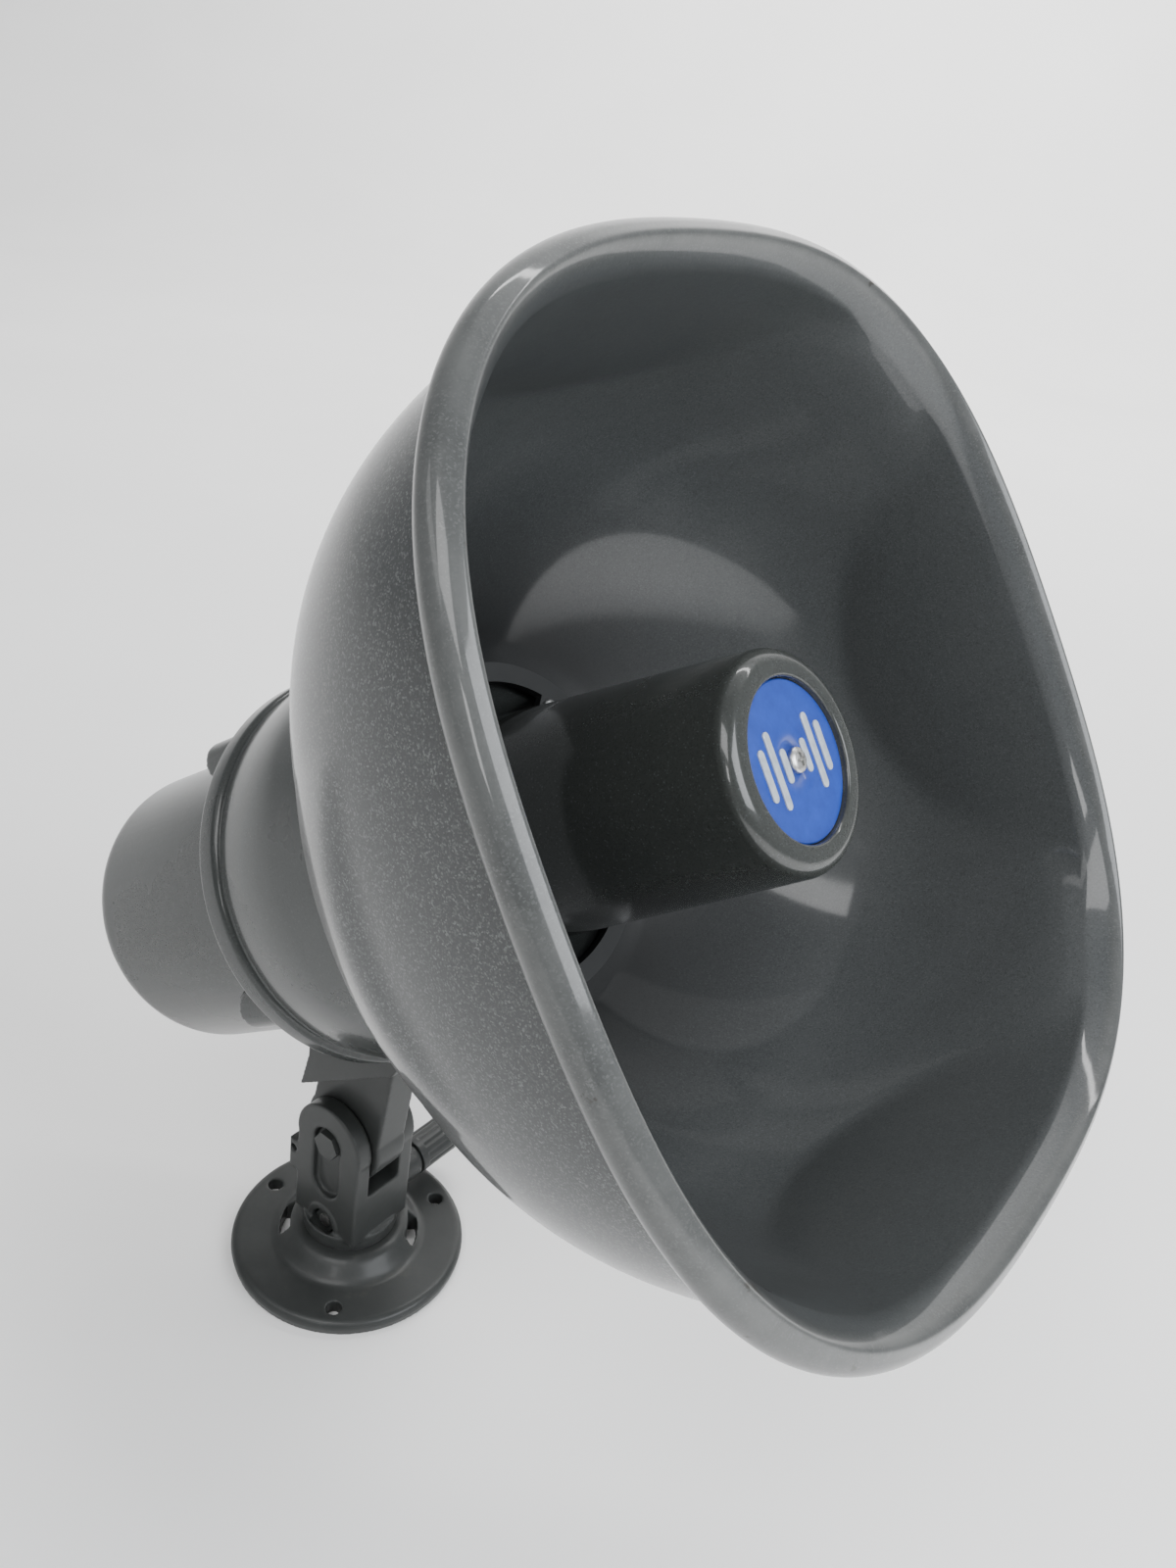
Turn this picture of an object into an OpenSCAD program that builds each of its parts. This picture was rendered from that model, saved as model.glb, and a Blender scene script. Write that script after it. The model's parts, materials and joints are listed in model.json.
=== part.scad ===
/* [Base flange] */
// Radius of the round mounting flange
flange_r = 41; // [38:0.5:46]
// Thickness of the flange rim
flange_h = 5.6; // [5:0.2:7]
// Pitch circle diameter of the three mounting holes
bolt_pcd = 68.3; // [66:0.1:70]
// Radius of a mounting hole
bolt_hole_r = 2.6; // [2:0.1:3]
// Direction of the first mounting hole, from +X
bolt_angle = 68.6; // [60:0.2:80]
// Height of the domed centre above the wall plane
dome_h = 12; // [11:0.2:13]

/* [Swivel] */
// Height of the tilt pivot above the wall plane
pivot_height = 55; // [54:0.5:60]
// Half width of the swivel block, measured outside its two ears
ear_y = 13; // [12.6:0.1:14]
// Thickness of one ear
ear_t = 6; // [5:0.2:6]
// Radius of the round top of an ear
ear_r = 15; // [14:0.2:16]
// Height of the cross barrel's axis
barrel_z = 19; // [18.6:0.1:20]
// Outer radius of the cross barrel and of the clamp knob
barrel_r = 7; // [6.6:0.1:7.4]
// Far end of the cross barrel
barrel_end = 29; // [26:0.5:32]
// Length of the clamp knob
knob_len = 24; // [18:0.5:30]

/* [Horn placing] */
// Tilt of the horn axis above the wall plane's normal circle
horn_tilt = 35.75; // [30:0.25:42]
// Distance along the horn axis from the tilt pivot to the throat joint
pivot_back = 61.85; // [60:0.05:64]
// Distance from the tilt pivot up to the horn axis
pivot_drop = 85.9; // [84:0.1:88]

/* [Bell] */
// Position of the mouth plane along the horn axis
mouth_s = 171.94; // [165:0.1:180]
// Depth of the bell's bowl, from the mouth plane to its pole
bowl_depth = 119.95; // [115:0.1:125]
// Mean radius of the bowl's wall at the mouth
bowl_r = 109.87; // [105:0.1:115]
// Mean radius of the rolled rim's outside
rim_r = 117.48; // [113:0.1:122]
// How far the four corners stand out, and the four flats in
corner_bulge = 4.87; // [3:0.1:6]
// Radius of the rolled rim's section
bead_r = 4.5; // [4:0.1:5]
// Thickness of the bell's wall
bell_wall = 2; // [1.6:0.1:2.4]

/* [Reflector cup] */
// Front plane of the cup's lip
cup_front = 154.5; // [150:0.5:158]
// Outer radius just behind the lip
cup_r = 26.3; // [25:0.1:28]
// Open rear end of the cup
cup_back = 48; // [44:0.5:52]
// Radius of the round badge
badge_r = 18.9; // [17:0.1:19.5]

/* [Housings] */
// Outer radius of the rear can
can_r = 45.4; // [44.6:0.1:46]
// Rear face of the can
can_back = -90.5; // [-96:0.5:-89]
// Wall of the can
can_wall = 3; // [2.6:0.1:3.2]
// Outer radius of the ring at the back of the throat housing
ring_r = 58.7; // [58.4:0.1:60]
// Largest radius of the throat housing
throat_r = 60.8; // [60.4:0.1:61.2]
// Distance of the four housing screws from the axis
boss_circle = 51; // [50.4:0.1:51.6]

/* [Hidden] */
$fn = 72;
running = 0.05;
slack = 0.1;
can_front = -1;
can_in_r = can_r - can_wall;
can_floor = can_back + can_wall;
ring_back = -0.3;
ring_front = 8.4;
seat_s = 59;
bell_floor = 60;
floor_t = 2.2;
chamber_r = 41;
bell_hole_r = 41.8;
post_r = 37.6;
post_top = bell_floor + floor_t;
knob_start = barrel_end + 1.1;
washer_r = 16;
washer_bore = 10.3;
washer_top = dome_h + 0.7;
boss_angles = [30, 118, -118, -30];
pad_steps = [28, 50];
selector_x = 24;
gland_x = -27;
coil_x = -6;

// ---------- placing and common shapes ----------

// Frame of the tilt pivot: X is up across the horn axis, Z points along it
module tilt_place() {
    translate([0, 0, pivot_height])
        rotate([0, 90 - horn_tilt, 0])
            rotate([0, 0, 180])
                children();
}

// Frame of the horn: Z is the horn axis, with zero at the throat joint
module horn_place() {
    tilt_place()
        translate([pivot_drop, 0, pivot_back])
            children();
}

module tube(outer, inner, from, to) {
    translate([0, 0, from])
        difference() {
            cylinder(r = outer, h = to - from);
            translate([0, 0, -1])
                cylinder(r = inner, h = to - from + 2);
        }
}

module rod(outer, from, to) {
    translate([0, 0, from])
        cylinder(r = outer, h = to - from);
}

module on_circle(radius, angles) {
    for (a = angles)
        rotate([0, 0, a])
            translate([radius, 0, 0])
                children();
}

// Points of an arc, for turned profiles
function arc(x, y, r, from, to, steps) =
    [for (i = [0 : steps]) let (a = from + (to - from) * i / steps) [x + r * cos(a), y + r * sin(a)]];

// Pan-head screw with a cross recess: the head stands on z = 0, the shank goes down
module cross_screw(shank_r, length, head_r, head_h) {
    recess = head_r * 1.1;
    slot = head_r * 0.28;
    difference() {
        union() {
            rotate_extrude()
                polygon(concat(
                    [[0, 0], [head_r, 0], [head_r, head_h * 0.4]],
                    [for (a = [15 : 15 : 90]) [head_r * cos(a), head_h * (0.4 + 0.6 * sin(a))]]
                ));
            rod(shank_r, -length, 0.1);
        }
        for (a = [0, 90])
            rotate([0, 0, a])
                translate([-recess / 2, -slot / 2, head_h * 0.45])
                    cube([recess, slot, head_h]);
    }
}

// Points up the rounded dome of the flange, from the rim to the flat top
function dome_points() =
    [for (i = [0 : 8]) let (t = i / 8) [27 - 9 * t, flange_h + (dome_h - flange_h) * (1 - cos(180 * t)) / 2]];

// ---------- base ----------

module banding_slot() {
    radius = 22.5;
    width = 3.4;
    half_angle = 16;
    translate([0, 0, -1])
        rotate([0, 0, -half_angle])
            rotate_extrude(angle = 2 * half_angle)
                translate([radius - width / 2, 0])
                    square([width, dome_h + 2]);
}

module base_flange() {
    color("dimgray")
        difference() {
            rotate_extrude()
                polygon(concat(
                    [[0, 0], [flange_r - 0.6, 0]],
                    arc(flange_r - 2.6, flange_h - 2.6, 2.6, 0, 90, 5),
                    dome_points(),
                    [[0, dome_h]]
                ));
            rod(10 + running, -1, dome_h + 1);
            rod(13, -1, 5);
            on_circle(bolt_pcd / 2, [for (i = [0 : 2]) bolt_angle + 120 * i])
                rod(bolt_hole_r, -1, flange_h + 1);
            for (a = [bolt_angle - 30, bolt_angle + 150])
                rotate([0, 0, a])
                    banding_slot();
        }
}

// ---------- swivel ----------

// Along Y: local Z becomes +Y
module along_y(x, z) {
    translate([x, 0, z])
        rotate([-90, 0, 0])
            children();
}

module ear_solid(from) {
    along_y(0, pivot_height)
        rod(ear_r, from, from + ear_t);
    translate([-ear_r + 0.4, from, 30])
        cube([2 * ear_r - 0.8, ear_t, pivot_height - 30]);
}

// Pill-shaped pocket in the near ear, round the pivot bolt's head
module bolt_pocket() {
    low = 37;
    half = 6;
    off = -0.5;
    for (z = [low, pivot_height])
        along_y(off, z)
            rod(half, -ear_y - 1, -ear_y + 2.5);
    translate([off - half, -ear_y - 1, low])
        cube([2 * half, 3.5, pivot_height - low]);
}

module gusset() {
    thick = 10;
    translate([-thick / 2, 0, 0])
        rotate([90, 0, 90])
            linear_extrude(thick)
                polygon([
                    [ear_y - 1, 15], [barrel_end - 1, 15], [barrel_end - 1, 24],
                    [ear_y, 41], [ear_y - 1, 41],
                ]);
}

module swivel_block() {
    color("dimgray")
        difference() {
            union() {
                rod(10, 4.8, 14);
                rod(washer_r + 0.5, washer_top, 18);
                translate([-14.6, -ear_y, 17])
                    cube([29.2, 2 * ear_y, 20]);
                ear_solid(-ear_y);
                ear_solid(ear_y - ear_t);
                along_y(0, barrel_z)
                    rod(barrel_r, -ear_y - 0.5, barrel_end);
                gusset();
                translate([-18.5, -ear_y, 33])
                    cube([6, 4, 13]);
            }
            along_y(0, pivot_height)
                rod(3 + running, -ear_y - 1, ear_y + 1);
            bolt_pocket();
            along_y(0, barrel_z)
                rod(2.5 + running, -ear_y - 2, barrel_end + 1);
            along_y(0, barrel_z)
                rod(5, -ear_y - 2, -ear_y + 6);
            rod(3, 4, 14.5);
            along_y(-16.6, 42)
                rod(1.4, -ear_y - 1, -ear_y + 5);
            // Seat of the pan friction washer, cut up into the barrel's underside
            tube(washer_r + 1, washer_bore - 0.5, dome_h - 0.6, washer_top);
        }
}

module pan_friction_washer() {
    color("ivory")
        tube(washer_r, washer_bore, dome_h + running, washer_top);
}

module pan_retaining_washer() {
    color("silver")
        tube(12.5, 3 + running, 3.3, 4.8);
}

module pan_screw() {
    color("silver")
        translate([0, 0, 3.3])
            rotate([180, 0, 0])
                cross_screw(2.95, 10.6, 5.5, 2.7);
}

module pivot_bolt() {
    head_from = -ear_y + 2.5;
    color("silver")
        along_y(0, pivot_height)
            union() {
                rod(3, head_from - 0.1, ear_y + 8);
                translate([0, 0, head_from - 3.6])
                    cylinder(r = 5.4, h = 3.6, $fn = 6);
            }
}

module pivot_washer() {
    color("silver")
        along_y(0, pivot_height)
            tube(6.4, 3 + running, ear_y, ear_y + 1.2);
}

module hex_nut(corner_r, hole_r, from, to) {
    difference() {
        translate([0, 0, from])
            cylinder(r = corner_r, h = to - from, $fn = 6);
        rod(hole_r, from - 1, to + 1);
    }
}

module pivot_nut() {
    color("silver")
        along_y(0, pivot_height)
            hex_nut(5.77, 3 + running, ear_y + 1.2, ear_y + 6.2);
}

module tilt_friction_washers() {
    color("ivory")
        along_y(0, pivot_height)
            for (side = [-6.95, 6.35])
                tube(12, 3 + running, side, side + 0.6);
}

module clamp_washer() {
    color("silver")
        along_y(0, barrel_z)
            tube(6, 2.5 + running, barrel_end, barrel_end + 1);
}

module clamp_nut() {
    color("silver")
        along_y(0, barrel_z)
            hex_nut(4.62, 2.5 + running, -ear_y + 1, -ear_y + 5.9);
}

// ---------- clamp knob ----------

module clamp_knob() {
    flutes = 12;
    color("dimgray")
        along_y(0, barrel_z)
            difference() {
                union() {
                    rod(barrel_r, knob_start, knob_start + knob_len - 6);
                    rod(barrel_r - 0.5, knob_start + knob_len - 6.5, knob_start + knob_len - 3.9);
                    rod(barrel_r, knob_start + knob_len - 4, knob_start + knob_len);
                }
                rod(2.5, knob_start - 1, knob_start + 14);
                for (i = [1 : flutes])
                    rotate([0, 0, 360 / flutes * i])
                        translate([barrel_r + 0.55, 0, 0])
                            rod(1, knob_start + 3, knob_start + knob_len - 8);
            }
}

module clamp_stud() {
    color("silver")
        along_y(0, barrel_z)
            rod(2.5, -ear_y + 0.6, knob_start + 14);
}

// ---------- tilt bracket and rear can ----------

// Seats of the four bracket screws, in the pivot's frame, with local Z pointing down
module bracket_seats() {
    for (s = pad_steps, y = [-9, 9])
        translate([pivot_drop - 40.3, y, s])
            rotate([0, -90, 0])
                children();
}

module tilt_bracket() {
    tongue_y = 6.3;
    pad_y = 14.5;
    color("dimgray")
        tilt_place()
            difference() {
                union() {
                    rotate([90, 0, 0])
                        translate([0, 0, -tongue_y])
                            linear_extrude(2 * tongue_y)
                                union() {
                                    circle(r = 17);
                                    polygon([
                                         [7, -15.5], [23.4, 0.8], [26, 2],
                                         [26, 46], [23.4, 42], [-6, 15.9],
                                     ]);
                                }
                    rotate([90, 0, 0])
                        translate([0, 0, -pad_y])
                            linear_extrude(2 * pad_y)
                                polygon([[23.3, 0.8], [34, 12.7], [46, 21], [46, 57], [27, 57], [23.3, 50]]);
                }
                translate([pivot_drop, 0, 0])
                    rod(can_r + running, -10, 80);
                along_y(0, 0)
                    rod(3 + running, -20, 20);
                bracket_seats()
                    rod(2.05, 0, 14);
            }
}

module bracket_screws() {
    color("silver")
        tilt_place()
            bracket_seats()
                rotate([180, 0, 0])
                    cross_screw(2, 13, 3.5, 2);
}

module housing_bosses(outer, from, to) {
    on_circle(boss_circle, boss_angles)
        rod(outer, from, to);
}

module rear_housing() {
    edge = 8;
    color("slategray")
        horn_place()
            difference() {
                union() {
                    rotate_extrude()
                        polygon(concat(
                            [[0, can_back]],
                            arc(can_r - edge, can_back + edge, edge, -90, 0, 8),
                            [[can_r, can_front], [can_in_r, can_front]],
                            [[can_in_r, can_floor + edge - can_wall]],
                            arc(can_r - edge, can_back + edge, edge - can_wall, 0, -90, 6),
                            [[0, can_floor]]
                        ));
                    difference() {
                        union() {
                            housing_bosses(6.2, -16, can_front);
                            for (a = boss_angles)
                                rotate([0, 0, a])
                                    translate([can_in_r + 1, -6.2, -16])
                                        cube([boss_circle - can_in_r - 1, 12.4, can_front + 16]);
                        }
                        rod(can_in_r + 1, -20, 1);
                    }
                    for (s = pad_steps, y = [-9, 9])
                        translate([-42.6, y, s - pivot_back])
                            rotate([0, 90, 0])
                                rod(4.4, 0, 2.3);
                    for (y = [-26, 26])
                        translate([coil_x, y, 0])
                            rod(4, can_floor - 0.5, -82);
                }
                housing_bosses(2.2, -17, 0);
                for (s = pad_steps, y = [-9, 9])
                    translate([-50, y, s - pivot_back])
                        rotate([0, 90, 0])
                            rod(2.2, 0, 12);
                for (y = [-26, 26])
                    translate([coil_x, y, 0])
                        rod(1.5, -87, -81);
                translate([selector_x, 0, 0])
                    rod(5.1, can_back - 1, can_floor + 1);
                translate([gland_x, 0, 0])
                    rod(7.1, can_back - 1, can_floor + 1);
            }
}

module housing_gasket() {
    color("black")
        horn_place()
            difference() {
                union() {
                    rod(46.4, can_front, ring_back);
                    housing_bosses(6.2, can_front, ring_back);
                }
                rod(42.6, can_front - 1, ring_back + 1);
                housing_bosses(2.2, can_front - 1, ring_back + 1);
            }
}

module housing_screws() {
    color("silver")
        horn_place()
            on_circle(boss_circle, boss_angles)
                translate([0, 0, -16])
                    rotate([180, 0, 0])
                        cross_screw(2, 22, 3.6, 2.6);
}

// ---------- throat housing ----------

module throat_housing() {
    floor_s = 14;
    groove_floor = 9;
    color("slategray")
        horn_place()
            difference() {
                union() {
                    rotate_extrude()
                        polygon(concat(
                            [[9, ring_back], [ring_r - 1.6, ring_back]],
                            arc(ring_r - 1.6, ring_back + 1.6, 1.6, -90, 0, 4),
                            arc(ring_r - 2.2, ring_front - 2.2, 2.2, 0, 70, 4),
                            [[57.2, ring_front + 0.6]],
                            [for (i = [1 : 6])
                                let (t = i / 6)
                                [57.2 + 3.6 * sin(90 * t), ring_front + 0.6 + 30 * t]],
                            [[throat_r, 66.8], [60.3, 67.2], [54.8, 64.2], [54, 60], [54, groove_floor]],
                            [[46, groove_floor], [46, 54], [47.4, 57], [47.4, seat_s], [chamber_r, seat_s]],
                            [[chamber_r, floor_s + 10]],
                            arc(chamber_r - 10, floor_s + 10, 10, 0, -90, 6),
                            [[17, floor_s], [17, 26], [12 + running, 26], [12 + running, 8], [9, 8]]
                        ));
                    on_circle(post_r, [45, 135, 225, 315])
                        rod(3.7, floor_s - 1, post_top - slack);
                    on_circle(boss_circle, boss_angles)
                        rod(4.5, groove_floor - 1, 16);
                }
                housing_bosses(2.05, ring_back - 1, 7);
                on_circle(post_r, [45, 135, 225, 315])
                    rod(1.55, 48, post_top + 1);
                on_circle(36, [0, 120, 240])
                    rod(1.55, ring_back - 1, 7);
            }
}

module bell_gasket() {
    color("black")
        horn_place()
            tube(47.2, bell_hole_r, seat_s, bell_floor);
}

// ---------- bell ----------

// How far back a point lies, 0 at the mouth and 1 at the bowl's pole
function bowl_u(s) = min(1, max(0, (mouth_s - s) / bowl_depth));

function round_bowl(s) = bowl_r * pow(1 - pow(bowl_u(s), 2.7), 1 / 1.9);

// Flats face up, down and to both sides, corners lie between them
function lobe(a) = -corner_bulge * cos(4 * a);

function rim_at(a) = rim_r + lobe(a);

// Inside: a round bowl, cut by four slightly drafted flats
function flat_in(s, a) = rim_at(a) - 2 * bead_r - 0.05 * (mouth_s - s);

function bowl_in(s) = round_bowl(s) - bell_wall + 5.5 * pow(1 - bowl_u(s), 10);

function bell_in(s, a) = min(bowl_in(s), flat_in(s, a));

function bell_out(s, a) = max(
    round_bowl(s) + lobe(a) * pow(1 - bowl_u(s), 0.87),
    bell_in(s, a) + 0.85 * bell_wall
);

// One closed section of the bell at angle a: [radius, position along the axis]
function bell_section(a) = concat(
    [[bell_hole_r, bell_floor], [45.6, bell_floor]],
    [for (i = [0 : 11]) let (s = 61.6 + 105.6 * pow(i / 11, 1.5)) [bell_out(s, a), s]],
    [for (t = [125 : -35 : -165]) [rim_at(a) - bead_r + bead_r * cos(t), mouth_s - bead_r * sin(t)]],
    [for (i = [12 : -1 : 0]) let (s = 64.6 + 106.6 * pow(i / 12, 1.4)) [bell_in(s, a), s]],
    [[46, bell_floor + floor_t], [bell_hole_r, bell_floor + floor_t]]
);

module bell() {
    around = 72;
    sections = [for (k = [0 : around - 1]) bell_section(360 * k / around)];
    rings = len(sections[0]);
    points = [
        for (k = [0 : around - 1])
            let (a = 360 * k / around)
                for (p = sections[k])
                    [p[0] * cos(a), p[0] * sin(a), p[1]]
    ];
    faces = [
        for (k = [0 : around - 1], j = [0 : rings - 1])
            let (k2 = (k + 1) % around, j2 = (j + 1) % rings)
                each [
                    [k * rings + j, k * rings + j2, k2 * rings + j2],
                    [k * rings + j, k2 * rings + j2, k2 * rings + j]
                ]
    ];
    color("gray")
        horn_place()
            polyhedron(points, faces, convexity = 6);
}

module bell_clamp_ring() {
    top = post_top + 2.3;
    color("dimgray")
        horn_place()
            difference() {
                union() {
                    tube(46, 40.6, post_top, top);
                    on_circle(post_r, [45, 135, 225, 315])
                        union() {
                            rod(3.8, post_top, top);
                            translate([0, -3.8, post_top])
                                cube([4, 7.6, top - post_top]);
                        }
                }
                on_circle(post_r, [45, 135, 225, 315])
                    rod(1.7, post_top - 1, top + 1);
            }
}

module bell_screws() {
    color("silver")
        horn_place()
            on_circle(post_r, [45, 135, 225, 315])
                translate([0, 0, post_top + 2.3])
                    cross_screw(1.5, 15, 2.9, 1.9);
}

// ---------- reflector cup and its badge ----------

function cup_out(s) = cup_r + (151 - s) * tan(2.95);

module reflector_cup() {
    wall = 2;
    lip = 4;
    badge_seat = cup_front - 3;
    end_wall = 3.5;
    color("gray")
        horn_place()
            rotate_extrude()
                polygon(concat(
                    [[2.2, badge_seat], [badge_r + slack, badge_seat], [badge_r + slack, cup_front - 0.4]],
                    [[badge_r + 0.6, cup_front]],
                    arc(cup_r - lip, cup_front - lip, lip, 90, 3, 7),
                    [[cup_out(cup_back + 1), cup_back + 1], [cup_out(cup_back) - 0.8, cup_back]],
                    [[cup_out(cup_back) - wall, cup_back]],
                    [[cup_out(138) - wall, 138]],
                    arc(cup_out(138) - wall - 8, badge_seat - end_wall - 8, 8, 0, 90, 6),
                    [[2.2, badge_seat - end_wall]]
                ));
}

module tone_arm() {
    color("darkgray")
        horn_place()
            rotate_extrude()
                polygon([
                    [9, 8.1], [12, 8.1], [12, 26.1], [17, 26.1], [17, 28.6], [11.6, 29.4],
                    [16, 135], [14, 135], [9.4, 29]
                ]);
}

module cup_spider() {
    hub_top = cup_front - 6.5;
    color("darkgray")
        horn_place()
            difference() {
                union() {
                    tube(16, 14, 135, 139);
                    for (a = [0, 120, 240])
                        rotate([0, 0, a]) {
                            translate([3, -1.5, 135])
                                cube([11.8, 3, 4]);
                            translate([3, -1.5, 124])
                                cube([10, 3, 11.5]);
                        }
                    rod(5, 122, hub_top);
                }
                rod(2.05, 136, hub_top + 1);
            }
}

module badge_disc() {
    face = cup_front - 1.5;
    color("royalblue")
        horn_place()
            difference() {
                rod(badge_r, cup_front - 3, face);
                rod(2.2, cup_front - 4, face + 1);
            }
}

// Level-meter bars, a plain audio symbol, with room for the screw in the middle
module badge_emblem() {
    face = cup_front - 1.5;
    pitch = 4;
    bar_w = 2.2;
    heights = [8, 18, 12];
    color("lightgray")
        horn_place()
            for (i = [0 : 2], side = [-1, 1])
                translate([-heights[i] / 2, side * pitch * (i + 1.1) - bar_w / 2, face])
                    cube([heights[i], bar_w, 0.5]);
}

module cup_screw() {
    color("silver")
        horn_place()
            translate([0, 0, cup_front - 1.5])
                cross_screw(2, 14, 3, 1.6);
}

// ---------- compression driver ----------

module throat_plate() {
    color("silver")
        horn_place()
            difference() {
                rotate_extrude()
                    polygon([
                        [9, -0.35], [38, -0.35], [38, -8], [33, -8], [33, -16], [24.6, -16],
                        [24.6, -15.6], [20.5, -15.6], [20.5, -8], [11, -8]
                    ]);
                on_circle(36, [0, 120, 240])
                    rod(1.7, -9, 1);
            }
}

module phase_plug() {
    color("black")
        horn_place()
            union() {
                translate([0, 0, -11.5])
                    cylinder(r1 = 9.5, r2 = 1, h = 13.5);
                tube(20.4, 17.5, -11, -8.05);
                for (a = [0, 120, 240])
                    rotate([0, 0, a])
                        translate([5, -1, -11])
                            cube([13.5, 2, 2.9]);
            }
}

module diaphragm() {
    skin = 0.4;
    color("goldenrod")
        horn_place()
            rotate_extrude()
                polygon(concat(
                    [[0, -12.6], [6, -13], [10.5, -14.3], [13.2, -15.8], [14.2, -15.8]],
                    arc(17, -15.8, 2.4, 180, 0, 8),
                    [[24.4, -15.65], [24.4, -16], [19.8, -16]],
                    arc(17, -16, 2.4 - skin, 0, 180, 8),
                    [[12.6, -16], [10.2, -14.8], [6, -13.4], [0, -13]]
                ));
}

module voice_coil() {
    color("darkorange")
        horn_place()
            tube(13.4, 12.5, -23.5, -16);
}

module magnet_top_plate() {
    color("silver")
        horn_place()
            tube(33, 14, -22, -16);
}

module magnet_ring() {
    color("darkslategray")
        horn_place()
            tube(33, 17, -34, -22);
}

module pole_piece() {
    color("silver")
        horn_place()
            union() {
                rod(32, -40, -34);
                rod(11.9, -34.5, -16.4);
            }
}

module driver_screws() {
    color("silver")
        horn_place()
            on_circle(36, [0, 120, 240])
                translate([0, 0, -8])
                    rotate([180, 0, 0])
                        cross_screw(1.5, 14, 2.6, 1.8);
}

// Direction of a route at point i, averaged over the runs before and after it
function route_way(route, i) = route[min(len(route) - 1, i + 1)] - route[max(0, i - 1)];

// Ring of points round a route's point, square to its direction
function wire_ring(route, i, r, sides) =
    let (way = route_way(route, i) / norm(route_way(route, i)))
    let (side = cross(way, [0, 1, 0]) / norm(cross(way, [0, 1, 0])))
    let (over = cross(way, side))
        [for (k = [0 : sides - 1])
            let (turn = 360 * k / sides)
            route[i] + r * (side * cos(turn) + over * sin(turn))];

module wire(route, r) {
    sides = 8;
    count = len(route);
    points = [for (i = [0 : count - 1]) each wire_ring(route, i, r, sides)];
    walls = [
        for (i = [0 : count - 2], k = [0 : sides - 1])
            let (k2 = (k + 1) % sides)
                [i * sides + k2, i * sides + k, (i + 1) * sides + k, (i + 1) * sides + k2]
    ];
    caps = [[for (k = [0 : sides - 1]) k], [for (k = [sides - 1 : -1 : 0]) (count - 1) * sides + k]];
    polyhedron(points, concat(walls, caps));
}

module driver_leads() {
    color("firebrick")
        horn_place()
            for (side = [-1, 1])
                wire([
                    [34.4, side * 6, -19], [36, side * 6, -30],
                    [32, side * 7, -46], [23.4, side * 8, -56], [20.8, side * 8, -61]
                ], 0.9);
}

// ---------- matching transformer and connections ----------

module transformer_core() {
    width = 40;
    height = 32;
    thick = 18;
    back = -67;
    color("gray")
        horn_place()
            translate([coil_x, 0, back])
                difference() {
                    translate([-height / 2, -width / 2, 0])
                        cube([height, width, thick]);
                    for (side = [-1, 1])
                        translate([-9, side * 10 - 4, -1])
                            cube([18, 8, thick + 2]);
                }
}

module transformer_coil() {
    color("orangered")
        horn_place()
            translate([coil_x, 0, -74])
                difference() {
                    translate([-8.8, -13.8, 0])
                        cube([17.6, 27.6, 32]);
                    translate([-10, -6.1, 6.9])
                        cube([20, 12.2, 18.2]);
                }
}

module transformer_bracket() {
    color("silver")
        horn_place()
            difference() {
                union() {
                    for (side = [-1, 1]) {
                        translate([coil_x - 6, side * 20.9 - 0.75, -82])
                            cube([12, 1.5, 33]);
                        translate([coil_x - 6, side * 25.7 - 4.5, -82])
                            cube([12, 9, 1.5]);
                    }
                    translate([coil_x - 6, -21.6, -49])
                        cube([12, 43.2, 1.5]);
                }
                for (y = [-26, 26])
                    translate([coil_x, y, 0])
                        rod(1.7, -83, -79);
                translate([coil_x - 9.5, -14.2, -50])
                    cube([19, 28.4, 4]);
            }
}

module transformer_screws() {
    color("silver")
        horn_place()
            for (y = [-26, 26])
                translate([coil_x, y, -80.5])
                    cross_screw(1.5, 6, 2.6, 1.8);
}

module terminal_block() {
    color("whitesmoke")
        horn_place()
            difference() {
                translate([10.05, -12, -66])
                    cube([8, 24, 10]);
                for (y = [-8, 0, 8])
                    translate([14, y, -61])
                        rotate([0, 90, 0])
                            rod(1.5, 0, 6);
            }
}

module terminal_screws() {
    color("gold")
        horn_place()
            for (y = [-8, 0, 8])
                translate([18.05, y, -61])
                    rotate([0, 90, 0])
                        cross_screw(1.45, 3.6, 2.4, 1.6);
}

module tap_switch() {
    color("black")
        horn_place()
            translate([selector_x, 0, 0])
                difference() {
                    union() {
                        rod(9.5, can_floor + slack, -73);
                        rod(5, -93, can_floor + 1);
                        for (i = [0 : 5])
                            rotate([0, 0, 30 + 60 * i])
                                translate([6, -1, -74])
                                    cube([0.8, 2, 5]);
                    }
                    rod(3 + running, -94, -78);
                }
}

module tap_switch_nut() {
    color("silver")
        horn_place()
            translate([selector_x, 0, 0])
                hex_nut(7.6, 5 + running, can_back - 2.5, can_back);
}

module gland_body() {
    color("black")
        horn_place()
            translate([gland_x, 0, 0])
                difference() {
                    union() {
                        rod(7, can_back - 1, -79);
                        translate([0, 0, can_back - 4])
                            cylinder(r = 10.4, h = 4, $fn = 6);
                        rod(6.9, can_back - 11, can_back - 3.9);
                    }
                    rod(3.2, can_back - 12, -78);
                    rod(5.2, can_back - 12, can_back - 6);
                }
}

module gland_seal() {
    color("dimgray")
        horn_place()
            translate([gland_x, 0, 0])
                tube(5.1, 3.2, can_back - 14.4, can_back - 6.1);
}

module gland_cap() {
    color("black")
        horn_place()
            translate([gland_x, 0, 0])
                rotate_extrude()
                    polygon(concat(
                        [[7, can_back - 4.1], [9, can_back - 4.1], [9, can_back - 11]],
                        arc(4.4, can_back - 11, 4.6, 0, -80, 5),
                        [[3.4, can_back - 15.6], [3.4, can_back - 14.5], [5.2, can_back - 14.5]],
                        [[5.2, can_back - 11.2], [7, can_back - 11.2]]
                    ));
}

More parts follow.
